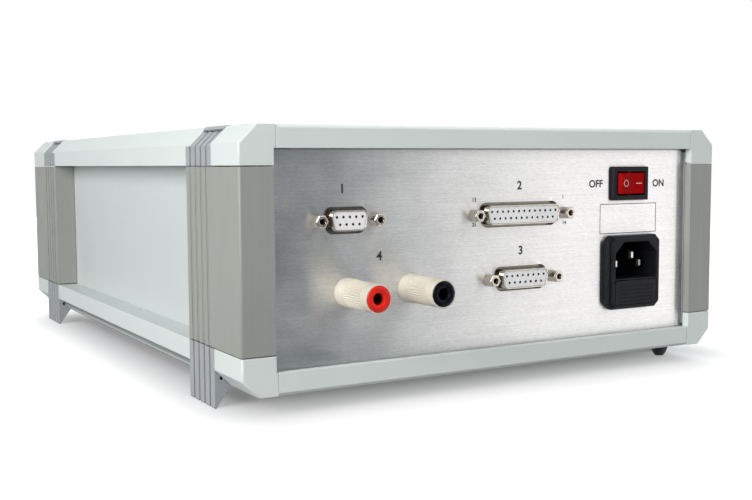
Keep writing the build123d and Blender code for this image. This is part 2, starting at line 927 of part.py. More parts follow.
def inlet_housing():
    plate = Pos(inlet_x, inlet_z) * cut_corner_plate(inlet_width, inlet_height, inlet_corner)
    solid = along_y(plate, panel_y, panel_y + inlet_flange)
    solid = chamfer(solid.faces().sort_by(Axis.Y)[-1].edges(), inlet_flange_bevel)
    raised = cut_corner_plate(inlet_block_width, inlet_block_height, inlet_block_corner)
    solid += along_y(Pos(inlet_x, inlet_z) * raised, panel_y + inlet_flange / 2, inlet_face_y)
    body_half_height = inlet_block_height / 2
    body_back = panel_inner_y - inlet_body_depth
    solid += block(
        inlet_x - inlet_body_width / 2, inlet_x + inlet_body_width / 2,
        body_back, panel_y + inlet_flange / 2,
        inlet_z - body_half_height, inlet_z + body_half_height,
    )
    socket = Pos(inlet_x, inlet_socket_z) * socket_outline()
    solid -= along_y(socket, inlet_face_y - inlet_socket_depth, inlet_face_y + wall)
    bay_half = drawer_width / 2 + drawer_gap
    solid -= block(
        inlet_x - bay_half, inlet_x + bay_half,
        drawer_back_y - drawer_gap, inlet_face_y + wall, bay_low, bay_top,
    )
    socket_floor = inlet_face_y - inlet_socket_depth
    for x, z, setback in blade_places():
        solid -= along_y(Pos(x, z) * blade_outline(), body_back - wall, socket_floor + wall)
    return solid


def blade_outline():
    return RectangleRounded(blade_width, blade_height, blade_round)


def blade_places():
    low_z = inlet_socket_z - blade_drop / 2
    return [
        (inlet_x - blade_spacing / 2, low_z, line_blade_setback),
        (inlet_x + blade_spacing / 2, low_z, line_blade_setback),
        (inlet_x, low_z + blade_drop, earth_blade_setback),
    ]


def inlet_blades():
    """Three flat contact blades that run through the housing to their solder tails."""
    blades = []
    tail_end = panel_inner_y - inlet_body_depth - blade_tail
    for x, z, setback in blade_places():
        blades.append(along_y(Pos(x, z) * blade_outline(), tail_end, inlet_face_y - setback))
    return Compound(children=blades)


def fuse_drawer():
    """A tray behind a ribbed face, with a pull tab on its upper edge."""
    x_from = inlet_x - drawer_width / 2
    x_to = inlet_x + drawer_width / 2
    z_from = drawer_z - drawer_height / 2
    z_to = drawer_z + drawer_height / 2
    solid = block(x_from, x_to, drawer_back_y, inlet_face_y, z_from, z_to)
    trough_half = fuse_length / 2 + drawer_gap
    solid -= block(
        inlet_x - trough_half, inlet_x + trough_half,
        drawer_back_y + drawer_floor, inlet_face_y - drawer_face,
        z_from + drawer_floor, z_to + wall,
    )
    for index in range(drawer_rib_count):
        level = index - (drawer_rib_count - 1) / 2
        rib_z = drawer_z + level * drawer_rib_pitch - drawer_tab_height / 2
        solid -= block(
            x_from + drawer_rib_inset, x_to - drawer_rib_inset,
            inlet_face_y - drawer_rib_depth, inlet_face_y + wall,
            rib_z - drawer_rib_width / 2, rib_z + drawer_rib_width / 2,
        )
    solid += block(
        x_to - drawer_tab_width, x_to, inlet_face_y - drawer_face / 2, inlet_face_y + drawer_tab_rise,
        z_to - drawer_tab_height, z_to,
    )
    return solid


def fuse():
    """A glass tube fuse with its two end caps, lying across the drawer."""
    cap_offset = (fuse_length - fuse_cap_length) / 2
    low = drawer_z - drawer_height / 2 + drawer_floor + fuse_radius
    solid = Cylinder(fuse_glass_radius, fuse_length)
    for side in (-1, 1):
        solid += Pos(0, 0, side * cap_offset) * Cylinder(fuse_radius, fuse_cap_length)
    middle = (drawer_back_y + drawer_floor + inlet_face_y - drawer_face) / 2
    return Pos(inlet_x, middle, low) * Rot(0, 90, 0) * solid


# Panels

def rear_panel():
    reach = opening_half + panel_slot_depth - fit_gap
    low = bottom_z + rail_face - panel_slot_depth + fit_gap
    high = top_z - rail_face + panel_slot_depth - fit_gap
    sheet = block(-reach, reach, panel_inner_y, panel_y, low, high)
    through = (panel_inner_y - wall, panel_y + wall)
    for row_counts, width, spacing, x, z in CONNECTORS.values():
        opening = d_outline(width + 2 * cutout_margin, cutout_height, shell_round + cutout_margin / 2)
        sheet -= along_y(Pos(x, z) * opening, *through)
    for x, z in jackscrew_places():
        sheet -= rod_y(jack_thread_radius + jack_hole_clearance, x, z, *through)
    for x in TERMINALS.values():
        sheet -= rod_y(collar_spigot_radius + fit_gap, x, terminal_z, *through)
    switch_hole = Rectangle(switch_body_width + 2 * fit_gap, switch_body_height + 2 * fit_gap)
    sheet -= along_y(Pos(switch_x, switch_z) * switch_hole, *through)
    inlet_hole = Rectangle(inlet_body_width + 2 * fit_gap, inlet_block_height + 2 * fit_gap)
    return sheet - along_y(Pos(inlet_x, inlet_z) * inlet_hole, *through)


def key_places():
    """Two rows of two keys, level with the window and set in from the far edge."""
    last = opening_half - key_inset
    return [
        (last - column * key_column_pitch, window_z + level * key_row_pitch / 2)
        for level in (1, -1) for column in (1, 0)
    ]


def front_panel():
    reach = opening_half + panel_slot_depth - fit_gap
    low = bottom_z + rail_face - panel_slot_depth + fit_gap
    high = top_z - rail_face + panel_slot_depth - fit_gap
    sheet = block(-reach, reach, front_panel_y, front_panel_inner_y, low, high)
    through = (front_panel_y - wall, front_panel_inner_y + wall)
    slack = 2 * window_clearance
    opening = RectangleRounded(window_width + slack, window_height + slack, window_round + window_clearance)
    sheet -= along_y(Pos(window_x, window_z) * opening, *through)
    for x, z in key_places():
        hole = RectangleRounded(key_width + 2 * key_gap, key_height + 2 * key_gap, key_round + key_gap)
        sheet -= along_y(Pos(x, z) * hole, *through)
    return sheet


def display_window():
    """The tinted window, pushed through from behind against its flange."""
    face = RectangleRounded(window_width, window_height, window_round)
    solid = along_y(Pos(window_x, window_z) * face, front_panel_y - window_rise, front_panel_inner_y)
    solid = chamfer(solid.faces().sort_by(Axis.Y)[0].edges(), window_rise / 2)
    flange = RectangleRounded(
        window_width + 2 * window_flange, window_height + 2 * window_flange, window_round + window_flange,
    )
    return solid + along_y(
        Pos(window_x, window_z) * flange, front_panel_inner_y, front_panel_inner_y + window_flange_thickness,
    )


def panel_key(x, z):
    """A push key with a crowned cap, a retaining flange and a stem to the switch board."""
    cap = Pos(x, z) * RectangleRounded(key_width, key_height, key_round)
    flange_y = front_panel_inner_y + fit_gap
    solid = along_y(cap, front_panel_y - key_rise, flange_y)
    solid = chamfer(solid.faces().sort_by(Axis.Y)[0].edges(), key_crown)
    flange = Pos(x, z) * RectangleRounded(key_width + 2 * key_flange, key_height + 2 * key_flange, key_round)
    solid += along_y(flange, flange_y, flange_y + key_flange_thickness)
    stem_end = front_panel_inner_y + spacer_height - key_travel - fit_gap
    return solid + rod_y(key_stem_radius, x, z, flange_y, stem_end)


# Inside the case

floor_z = bottom_z + cover_thickness
board_z = floor_z + spacer_height
board_front_y = front_y + board_front_margin
board_x = opening_half - rail_lip - board_side_gap - board_width / 2
display_board_width = 2 * (opening_half - display_board_side_gap)
transformer_x = rail_lip + transformer_side_gap + foot_plate_length / 2 - opening_half
transformer_y = board_front_y + board_length + transformer_board_gap + core_stack / 2
display_board_y = front_panel_inner_y + spacer_height


def board_hole_places():
    half_width_in = board_width / 2 - board_hole_inset
    half_length_in = board_length / 2 - board_hole_inset
    middle = board_front_y + board_length / 2
    return [
        (board_x + side * half_width_in, middle + end * half_length_in)
        for side in (-1, 1) for end in (-1, 1)
    ]


def main_board():
    board = block(
        board_x - board_width / 2, board_x + board_width / 2,
        board_front_y, board_front_y + board_length, board_z, board_z + board_thickness,
    )
    for x, y in board_hole_places():
        board -= rod_z(spacer_bore, x, y, board_z - wall, board_z + board_thickness + wall)
    return board


def display_hole_places():
    half_w = display_board_width / 2 - board_hole_inset
    half_h = display_board_height / 2 - board_hole_inset
    return [(side * half_w, middle_z + level * half_h) for side in (-1, 1) for level in (-1, 1)]


def display_board():
    board = block(
        -display_board_width / 2, display_board_width / 2,
        display_board_y, display_board_y + board_thickness,
        middle_z - display_board_height / 2, middle_z + display_board_height / 2,
    )
    for x, z in display_hole_places():
        board -= rod_y(spacer_bore, x, z, display_board_y - wall, display_board_y + wall + board_thickness)
    return board


def board_spacers():
    """Eight equal tapped pillars: four under the main board, four behind the front panel."""
    ring = Circle(spacer_radius) - Circle(spacer_bore)
    pillars = [along_z(Pos(x, y) * ring, floor_z, board_z) for x, y in board_hole_places()]
    for x, z in display_hole_places():
        pillars.append(along_y(Pos(x, z) * ring, front_panel_inner_y, display_board_y))
    return Compound(children=pillars)


def transformer():
    """A laminated core on a foot plate, with the winding standing out on both sides."""
    y = transformer_y
    plate_top = floor_z + foot_plate_thickness
    half_stack = core_stack / 2
    solid = block(
        transformer_x - foot_plate_length / 2, transformer_x + foot_plate_length / 2,
        y - half_stack, y + half_stack, floor_z, plate_top,
    )
    for side in (-1, 1):
        hole_x = transformer_x + side * (foot_plate_length + core_width) / 4
        solid -= rod_z(foot_plate_hole, hole_x, y, floor_z - wall, plate_top + wall)
    solid += block(
        transformer_x - core_width / 2, transformer_x + core_width / 2,
        y - half_stack, y + half_stack, plate_top, plate_top + core_height,
    )
    winding_z = plate_top + core_height / 2
    winding = RectangleRounded(winding_width, winding_height, spacer_radius)
    return solid + along_y(
        Pos(transformer_x, winding_z) * winding, y - winding_depth / 2, y + winding_depth / 2,
    )


# Everything by node name

def build_nodes():
    nodes = {}
    upper = four_corners(corner_block())
    for place, solid in upper.items():
        nodes[f"corner_{place}_top"] = solid
        nodes[f"corner_{place}_bottom"] = to_bottom(solid)
    for place, solid in four_corners(post()).items():
        nodes[f"post_{place}"] = solid
    nodes["corner_clips"] = Compound(children=list(four_corners(clip()).values()))
    for place, solid in four_corners(foot()).items():
        nodes[f"foot_{place}"] = solid
    rail = end_rail()
    nodes["rail_rear_top"] = rail
    nodes["rail_rear_bottom"] = to_bottom(rail)
    nodes["rail_front_top"] = to_front(rail)
    nodes["rail_front_bottom"] = to_front(to_bottom(rail))
    top_rail = side_rail(grooved=False)
    low_rail = drilled_rail(side_rail(grooved=True))
    nodes["side_rail_right_top"] = top_rail
    nodes["side_rail_left_top"] = to_left(top_rail)
    nodes["side_rail_right_bottom"] = to_bottom(low_rail)
    nodes["side_rail_left_bottom"] = to_left(to_bottom(low_rail))
    nodes["side_panel_right"] = side_panel()
    nodes["side_panel_left"] = to_left(side_panel())
    nodes["top_cover"] = top_cover()
    nodes["bottom_cover"] = bottom_cover()
    nodes["cover_screws"] = cover_screws()
    nodes["rear_panel"] = rear_panel()
    nodes["front_panel"] = front_panel()
    nodes["rubber_bumper"] = rubber_bumper()
    for name in CONNECTORS:
        nodes[f"{name}_shell"] = connector_shell(name)
    inserts = [connector_insulator(name) for name in CONNECTORS]
    nodes["connector_insulators"] = Compound(children=inserts)
    nodes["jackscrews"] = jackscrews()
    nodes["terminal_collars"] = terminal_collars()
    nodes["terminal_studs"] = terminal_studs()
    for name, x in TERMINALS.items():
        nodes[f"{name}_ring"] = terminal_ring(x)
        nodes[f"{name}_knob"] = terminal_knob(x)
    nodes["switch_housing"] = switch_housing()
    nodes["switch_rocker"] = switch_rocker()
    nodes["inlet_housing"] = inlet_housing()
    nodes["inlet_blades"] = inlet_blades()
    nodes["fuse_drawer"] = fuse_drawer()
    nodes["fuse"] = fuse()
    nodes["main_board"] = main_board()
    nodes["display_board"] = display_board()
    nodes["board_spacers"] = board_spacers()
    nodes["transformer"] = transformer()
    nodes["display_window"] = display_window()
    for index, (x, z) in enumerate(key_places(), start=1):
        nodes[f"key_{index}"] = panel_key(x, z)
    return nodes


os.makedirs("parts", exist_ok=True)
for node_name, node_shape in build_nodes().items():
    export_step(node_shape, f"parts/{node_name}.step")
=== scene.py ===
import json
from math import cos, pi, radians, sin

import bpy
from mathutils import Matrix, Quaternion, Vector


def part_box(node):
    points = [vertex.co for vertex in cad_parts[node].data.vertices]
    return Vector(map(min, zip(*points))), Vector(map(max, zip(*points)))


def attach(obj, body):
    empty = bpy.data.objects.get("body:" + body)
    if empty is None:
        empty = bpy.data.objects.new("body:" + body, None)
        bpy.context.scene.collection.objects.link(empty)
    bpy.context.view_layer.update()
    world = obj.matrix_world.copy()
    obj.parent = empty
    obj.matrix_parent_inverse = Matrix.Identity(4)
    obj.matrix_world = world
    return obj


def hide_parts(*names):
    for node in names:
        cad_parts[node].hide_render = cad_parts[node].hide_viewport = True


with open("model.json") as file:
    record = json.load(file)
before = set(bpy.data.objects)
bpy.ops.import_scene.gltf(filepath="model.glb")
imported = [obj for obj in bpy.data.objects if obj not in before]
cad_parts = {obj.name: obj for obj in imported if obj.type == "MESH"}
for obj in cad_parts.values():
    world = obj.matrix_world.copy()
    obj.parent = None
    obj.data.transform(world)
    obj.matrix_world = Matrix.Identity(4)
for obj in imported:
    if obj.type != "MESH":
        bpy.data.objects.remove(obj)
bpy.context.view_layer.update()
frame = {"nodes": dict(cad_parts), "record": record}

# The camera stands off the rear right corner of the case, a little lower than its top, and looks
# slightly downward along the rear panel. Its place, lens and small roll come from the straight
# edges of the case in the photograph.
mm = 0.001
camera_place = Vector((262.31, 504.08, 93.87)) * mm
camera_heading = Vector((-0.49653, -0.86408, -0.08252))
camera_roll = -0.00579
lens_mm = 50.07
sensor_mm = 36.0


def add_to_scene(name, data):
    """A new object in the scene, made from a camera, a lamp or a mesh."""
    thing = bpy.data.objects.new(name, data)
    bpy.context.scene.collection.objects.link(thing)
    return thing


camera = add_to_scene("camera", bpy.data.cameras.new("camera"))
camera.data.lens = lens_mm
camera.data.sensor_width = sensor_mm
level_view = camera_heading.to_track_quat("-Z", "Y")
camera.rotation_mode = "QUATERNION"
camera.rotation_quaternion = level_view @ Quaternion((0, 0, 1), camera_roll)
camera.location = camera_place
bpy.context.scene.camera = camera
bpy.context.scene.view_settings.view_transform = "Standard"

# The case stands on a wide, pale table. The camera sees the table turn plain white a little way
# out from the shadow under the case, and bright metal doesn't mirror it.
table_half = 4.0
near_colour = (0.46, 0.46, 0.47, 1)
far_colour = (0.34, 0.34, 0.34, 1)
near_glow = 0.18
far_glow = 0.92
shadow_middle_x = -0.011
shadow_half = Vector((0.114, 0.123, 10.0))
shadow_reach = 0.070
side_falloff = 2.0


def make_mesh(name, points, faces):
    """A mesh of plain faces between the given points."""
    mesh = bpy.data.meshes.new(name)
    mesh.from_pydata(points, [], faces)
    return mesh


def add_node(tree, kind, output, inputs=None, **settings):
    """Adds a step to the recipe of a finish or of the room, and gives its named output.

    Each input gets a plain value, or a link where the value is the output of another step.
    """
    node = tree.nodes.new(f"ShaderNode{kind}")
    for setting, value in settings.items():
        setattr(node, setting, value)
    for name, value in (inputs or {}).items():
        if isinstance(value, bpy.types.NodeSocket):
            tree.links.new(value, node.inputs[name])
        else:
            node.inputs[name].default_value = value
    return node.outputs[output] if output else None


floor_corners = [
    (-table_half, -table_half, 0), (table_half, -table_half, 0),
    (table_half, table_half, 0), (-table_half, table_half, 0),
]
floor = add_to_scene("floor", make_mesh("floor", floor_corners, [(0, 1, 2, 3)]))
floor.visible_glossy = False

floor_finish = bpy.data.materials.new("floor_white")
floor_finish.use_nodes = True
table = floor_finish.node_tree
table.nodes.clear()
table_point = add_node(table, "TexCoord", "Object")
squeezed = add_node(table, "Mapping", "Vector", {
    "Vector": table_point,
    "Location": (-shadow_middle_x * side_falloff, 0, 0),
    "Scale": (side_falloff, 1, 1),
})
from_middle = add_node(table, "VectorMath", "Vector", {0: squeezed}, operation="ABSOLUTE")
shadow_edge = (shadow_half.x * side_falloff, shadow_half.y, shadow_half.z)
past_edge = add_node(
    table, "VectorMath", "Vector", {0: from_middle, 1: shadow_edge}, operation="SUBTRACT",
)
outside = add_node(
    table, "VectorMath", "Vector", {0: past_edge, 1: (0, 0, 0)}, operation="MAXIMUM",
)
way_out = add_node(table, "VectorMath", "Value", {0: outside}, operation="LENGTH")
table_fade = add_node(table, "MapRange", "Result", {"Value": way_out, "From Max": shadow_reach})
table_tone = add_node(
    table, "Mix", "Result", {"Factor": table_fade, "A": near_colour, "B": far_colour},
    data_type="RGBA",
)
table_gain = add_node(table, "Mix", "Result", {"Factor": table_fade, "A": near_glow, "B": far_glow})
table_paint = add_node(table, "BsdfDiffuse", "BSDF", {"Color": table_tone})
table_ray = add_node(table, "LightPath", "Is Camera Ray")
table_shown = add_node(table, "Math", "Value", {0: table_gain, 1: table_ray}, operation="MULTIPLY")
table_glow = add_node(table, "Emission", "Emission", {"Strength": table_shown})
table_surface = add_node(table, "AddShader", "Shader", {0: table_paint, 1: table_glow})
add_node(table, "OutputMaterial", None, {"Surface": table_surface})
floor.data.materials.append(floor_finish)

# The room is dim, and brighter beside the rear panel, which gives the brushed metal its long fade.
# Bright metal also mirrors two softer glows, in front of the case and behind it. The camera itself
# sees plain white.
room_dark = (0.122, 0.150, 0.165, 1)
room_light = (1.40, 1.385, 1.36, 1)
plain_white = (1, 1, 1, 1)
bright_side = Vector((-0.86, 0.50, 0.0)).normalized()
fade_start = 0.85
fade_end = 0.948
front_side = Vector((-0.35, -0.94, 0.0)).normalized()
front_start, front_end, front_share = 0.1, 0.9, 0.42
rear_side = Vector((0.35, 0.94, 0.0)).normalized()
rear_start, rear_end, rear_share = 0.80, 0.98, 0.45

room = bpy.data.worlds.new("room")
room.use_nodes = True
air = room.node_tree
air.nodes.clear()
air_point = add_node(air, "TexCoord", "Generated")
level_point = add_node(
    air, "VectorMath", "Vector", {0: air_point, 1: (1, 1, 0)}, operation="MULTIPLY",
)
bearing = add_node(air, "VectorMath", "Vector", {0: level_point}, operation="NORMALIZE")


def glow_towards(side, start, end, share=1.0):
    """A glow that grows to the given share as the bearing turns towards one side of the room."""
    nearness = add_node(air, "VectorMath", "Value", {0: bearing, 1: side}, operation="DOT_PRODUCT")
    return add_node(air, "MapRange", "Result", {
        "Value": nearness, "From Min": start, "From Max": end, "To Max": share,
    })


brightness = glow_towards(bright_side, fade_start, fade_end)
glossy_ray = add_node(air, "LightPath", "Is Glossy Ray")
for glow in (
    glow_towards(front_side, front_start, front_end, front_share),
    glow_towards(rear_side, rear_start, rear_end, rear_share),
):
    in_metal = add_node(air, "Math", "Value", {0: glow, 1: glossy_ray}, operation="MULTIPLY")
    brightness = add_node(air, "Math", "Value", {0: brightness, 1: in_metal}, operation="MAXIMUM")
room_tone = add_node(
    air, "Mix", "Result", {"Factor": brightness, "A": room_dark, "B": room_light},
    data_type="RGBA",
)
camera_ray = add_node(air, "LightPath", "Is Camera Ray")
room_seen = add_node(
    air, "Mix", "Result", {"Factor": camera_ray, "A": room_tone, "B": plain_white},
    data_type="RGBA",
)
room_glow = add_node(air, "Background", "Background", {"Color": room_seen})
add_node(air, "OutputWorld", None, {"Surface": room_glow})
bpy.context.scene.world = room

# Four soft square lamps face the case: one beside it near its rear end, one above it, and one each
# for the rear and the front panel. Bright metal doesn't mirror the last two.
room_middle = Vector((0.0, 0.0, 0.05))
key_place = Vector((0.98, 0.52, 0.44))
key_size = 0.7
key_power = 12.9
key_tint = (1.0, 0.965, 0.972)
over_place = Vector((-0.52, -0.40, 1.26))
over_size = 0.9
over_power = 10.0
over_tint = (0.95, 1.0, 0.985)
fill_place = Vector((-1.22, 0.98, 0.34))
fill_size = 0.8
fill_power = 2.6
fill_tint = (1.0, 0.985, 0.975)
front_place = Vector((-0.45, -1.25, 0.42))
front_size = 0.8
front_power = 8.0

for name, place, size, power, tint, mirrored in (
    ("key_lamp", key_place, key_size, key_power, key_tint, True),
    ("over_lamp", over_place, over_size, over_power, over_tint, True),
    ("fill_lamp", fill_place, fill_size, fill_power, fill_tint, False),
    ("front_lamp", front_place, front_size, front_power, fill_tint, False),
):
    lamp = add_to_scene(name, bpy.data.lights.new(name, "AREA"))
    lamp.data.shape = "SQUARE"
    lamp.data.size = size
    lamp.data.energy = power
    lamp.data.color = tint
    lamp.location = place
    lamp.rotation_mode = "QUATERNION"
    lamp.rotation_quaternion = (room_middle - place).to_track_quat("-Z", "Y")
    lamp.visible_glossy = mirrored

# Each of the eight corner blocks is a hollow zinc casting with two long chamfers that meet at the
# outer corner. It is powder coated pale grey-green, with a fine satin texture and slightly rounded
# edges, and holds the rails and the post that meet there.
case_colour = (0.700, 0.762, 0.738)
case_roughness = 0.42
casting_edge = 0.32 * mm
rounding_steps = 2
rounded_above = radians(28)
weld_reach = 0.001 * mm
corner_names = [
    f"corner_{end}_{side}_{level}"
    for end in ("rear", "front") for side in ("right", "left") for level in ("top", "bottom")
]


def make_finish(name, colour, roughness, **sockets):
    """A new material whose plain values sit straight on the shader's own sockets."""
    finish = bpy.data.materials.new(name)
    finish.use_nodes = True
    shader = finish.node_tree.nodes["Principled BSDF"]
    shader.inputs["Base Color"].default_value = (*colour, 1)
    shader.inputs["Roughness"].default_value = roughness
    for socket, value in sockets.items():
        shader.inputs[socket.replace("_", " ")].default_value = value
    return finish


def blotches(finish, size, stretch=(1, 1, 1), detail=2.0):
    """Noise with spots of the given size, drawn out along an axis where stretch is above one."""
    tree = finish.node_tree
    place = add_node(tree, "TexCoord", "Object")
    scale = [1 / (size * share) for share in stretch]
    scaled = add_node(tree, "Mapping", "Vector", {"Vector": place, "Scale": scale})
    return add_node(tree, "TexNoise", "Fac", {"Vector": scaled, "Scale": 1.0, "Detail": detail})


def spread(finish, pattern, low, high, start=0.32, end=0.68):
    """Maps a pattern, by default the noise's usual range, to the values from low to high."""
    return add_node(finish.node_tree, "MapRange", "Result", {
        "Value": pattern, "From Min": start, "From Max": end, "To Min": low, "To Max": high,
    })


def shade(finish, factor):
    """Multiplies the finish's colour by a factor that varies over the surface."""
    tree = finish.node_tree
    colour = tree.nodes["Principled BSDF"].inputs["Base Color"]
    before = colour.links[0].from_socket if colour.is_linked else colour.default_value
    mixed = add_node(
        tree, "Mix", "Result", {"Factor": 1.0, "A": before, "B": factor},
        data_type="RGBA", blend_type="MULTIPLY",
    )
    tree.links.new(mixed, colour)


def polish(finish, roughness):
    """Lets the roughness vary over the surface."""
    tree = finish.node_tree
    tree.links.new(roughness, tree.nodes["Principled BSDF"].inputs["Roughness"])


def relief(finish, height, depth):
    """Raises the surface by up to depth metres, on top of any relief it already has."""
    tree = finish.node_tree
    normal = tree.nodes["Principled BSDF"].inputs["Normal"]
    inputs = {"Height": height, "Distance": depth}
    if normal.is_linked:
        inputs["Normal"] = normal.links[0].from_socket
    tree.links.new(add_node(tree, "Bump", "Normal", inputs), normal)


def mottle(finish, size, low, high):
    """Varies the colour in spots of the given size."""
    shade(finish, spread(finish, blotches(finish, size), low, high))


def patchy_gloss(finish, size, low, high):
    """Varies the roughness in patches of the given size."""
    polish(finish, spread(finish, blotches(finish, size), low, high))


def grain(finish, size, depth):
    """Raises soft bumps of the given size."""
    relief(finish, blotches(finish, size), depth)


def powder_coat(name, colour, roughness):
    """Baked powder: fine orange peel, a faint unevenness of colour and small satin patches."""
    finish = make_finish(name, colour, roughness, Specular_IOR_Level=0.45)
    mottle(finish, size=35 * mm, low=0.975, high=1.01)
    mottle(finish, size=0.5 * mm, low=0.985, high=1.01)
    patchy_gloss(finish, size=18 * mm, low=roughness - 0.05, high=roughness + 0.06)
    grain(finish, size=0.9 * mm, depth=0.02 * mm)
    return finish


def paint_crevice_shade(finish, reach, tone):
    """Paints shade into grooves, joints and recesses, darkening them to the given tone."""
    openness = add_node(finish.node_tree, "AmbientOcclusion", "AO", {"Distance": reach}, samples=6)
    shade(finish, spread(finish, openness, low=tone, high=1.0, start=0.3, end=0.85))


def dress(piece, finish):
    """Gives a piece one finish in place of any that it has."""
    piece.data.materials.clear()
    piece.data.materials.append(finish)


def body_of(node):
    """The moving body that carries a node."""
    groups = frame["record"]["behaviour"]["bodies"]
    return next(body for body, members in groups.items() if node in members)


def stand_in(piece, node, finish):
    """The piece takes the node's place and a finish, and rides where the node rides."""
    dress(piece, finish)
    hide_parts(node)
    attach(piece, body_of(node))


def ease(node, finish, edge, short=(0, 0, 0)):
    """Shows the node with its sharp edges rounded off, as casting, cutting and moulding leave them.

    Each end stops short of its neighbour by the given amount, which leaves a hairline joint.
    """
    mesh = frame["nodes"][node].data.copy()
    mesh.name = f"{node}_eased"
    piece = add_to_scene(mesh.name, mesh)
    weld = piece.modifiers.new("weld", "WELD")
    weld.merge_threshold = weld_reach
    rounding = piece.modifiers.new("rounding", "BEVEL")
    rounding.width = edge
    rounding.segments = rounding_steps
    rounding.limit_method = "ANGLE"
    rounding.angle_limit = rounded_above
    rounding.use_clamp_overlap = False
    rounding.loop_slide = False
    rounding.harden_normals = True
    depsgraph = bpy.context.evaluated_depsgraph_get()
    piece.data = bpy.data.meshes.new_from_object(piece.evaluated_get(depsgraph))
    piece.data.name = mesh.name
    piece.modifiers.clear()
    low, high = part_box(node)
    middle, size = (low + high) / 2, high - low
    fit = Matrix.Diagonal([1 - 2 * cut / span for cut, span in zip(short, size)]).to_4x4()
    piece.data.transform(Matrix.Translation(middle) @ fit @ Matrix.Translation(-middle))
    stand_in(piece, node, finish)


case_finish = powder_coat("case_powder_coat", case_colour, case_roughness)
# Painted shade darkens the grooves and joints of every part in this finish.
paint_crevice_shade(case_finish, reach=0.7 * mm, tone=0.7)
for name in corner_names:
    ease(name, case_finish, casting_edge)

# The four upright posts are aluminium extrusions, coated in a warmer grey than the case. Faint
# drawing lines run up their faces, and shallow ribs mark the width of the strap above.
post_colour = (0.322, 0.336, 0.305)
post_roughness = 0.40
post_edge = 0.3 * mm
post_joint = (0, 0, 0.28 * mm)
post_names = [f"post_{end}_{side}" for end in ("rear", "front") for side in ("right", "left")]

post_finish = powder_coat("post_powder_coat", post_colour, post_roughness)
draw_lines = blotches(post_finish, size=0.6 * mm, stretch=(1, 1, 160))
shade(post_finish, spread(post_finish, draw_lines, low=0.96, high=1.03))
relief(post_finish, draw_lines, depth=0.015 * mm)
# Painted shade darkens the grooves between the ribs and the post's joints.
paint_crevice_shade(post_finish, reach=0.7 * mm, tone=0.82)
for name in post_names:
    ease(name, post_finish, post_edge, short=post_joint)

# The four end rails are extrusions that run between the corner blocks, across the top and bottom
# of each panel. Their outer edge has a narrow bevel, and a slot on the inside grips the panel.
rail_edge = 0.3 * mm
end_rail_joint = (0.03 * mm, 0, 0)
end_rail_names = [
    f"rail_{end}_{level}" for end in ("rear", "front") for level in ("top", "bottom")
]

for name in end_rail_names:
    ease(name, case_finish, rail_edge, short=end_rail_joint)

# The four side rails run from front to rear between the straps. The upper pair is plain. The lower
# pair carries a groove along its chamfer, as extruded. Painted shade darkens the groove and below
# it.
side_rail_joint = (0, 0.06 * mm, 0)
groove_shade = {"height": 4.4 * mm, "reach": 1.7 * mm, "tone": 0.4}
foot_edge_shade = {"height": 0.55 * mm, "reach": 0.5 * mm, "tone": 0.25}


def along(finish, axis):
    """The place on one axis, in metres."""
    tree = finish.node_tree
    place = add_node(tree, "TexCoord", "Object")
    return add_node(tree, "SeparateXYZ", axis, {"Vector": place})


def paint_shade_along(finish, axis, bright, dull, tone):
    """Paints shade that deepens to a dull tone between two places on an axis."""
    low_tone, high_tone = (tone, 1.0) if dull < bright else (1.0, tone)
    low, high = min(bright, dull), max(bright, dull)
    shade(finish, spread(finish, along(finish, axis), low_tone, high_tone, low, high))


def paint_shade_line(finish, foot, height, reach, tone):
    """Paints a soft line of shade along a rail, at a height above its foot."""
    tree = finish.node_tree
    up = along(finish, "Z")
    offset = add_node(tree, "Math", "Value", {0: up, 1: foot + height}, operation="SUBTRACT")
    distance = add_node(tree, "Math", "Value", {0: offset}, operation="ABSOLUTE")
    shade(finish, spread(finish, distance, low=tone, high=1.0, start=reach / 2, end=reach))


low_rail_finish = powder_coat("low_rail_powder_coat", case_colour, case_roughness)
# Painted shade darkens the rail's groove and joints.
paint_crevice_shade(low_rail_finish, reach=0.7 * mm, tone=0.7)
rail_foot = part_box("side_rail_right_bottom")[0].z
# Painted shade in the lower rails' groove and along their bottom edge.
for shade_band in (groove_shade, foot_edge_shade):
    paint_shade_line(low_rail_finish, rail_foot, **shade_band)
for side in ("right", "left"):
    for level, finish in (("top", case_finish), ("bottom", low_rail_finish)):
        ease(f"side_rail_{side}_{level}", finish, rail_edge, short=side_rail_joint)

# Four ribbed straps of cool grey plastic snap over the upper rails beside the corner blocks. Each
# follows the side, the chamfer and the top edge, and ends in a raised pad.
strap_colour = (0.366, 0.392, 0.405)
strap_roughness = 0.46
strap_edge = 0.16 * mm


def satin_moulding(name, colour, roughness, shine=0.5):
    """Injection-moulded plastic: an even spark-eroded grain with a soft sheen."""
    finish = make_finish(name, colour, roughness, Specular_IOR_Level=shine)
    mottle(finish, size=12 * mm, low=0.97, high=1.02)
    patchy_gloss(finish, size=5 * mm, low=roughness - 0.06, high=roughness + 0.06)
    grain(finish, size=0.22 * mm, depth=0.012 * mm)
    return finish


strap_finish = satin_moulding("strap_plastic", strap_colour, strap_roughness)
# Painted shade darkens the grooves between the ribs, strongly.
paint_crevice_shade(strap_finish, reach=1.2 * mm, tone=0.3)
ease("corner_clips", strap_finish, strap_edge)

# Four ribbed wedge feet of the same plastic clip over the lower rails. Each runs down past the
# chamfer to a narrow land on the table.
foot_names = [f"foot_{end}_{side}" for end in ("rear", "front") for side in ("right", "left")]

for name in foot_names:
    ease(name, strap_finish, strap_edge)

# The two side panels are flat aluminium sheets. They are coated like the case and let into slots
# in the side rails and the posts.
sheet_edge = 0.15 * mm
sheet_colour = (0.610, 0.660, 0.645)
sheet_finish = powder_coat("sheet_powder_coat", sheet_colour, case_roughness)

for name in ("side_panel_right", "side_panel_left"):
    ease(name, sheet_finish, sheet_edge)

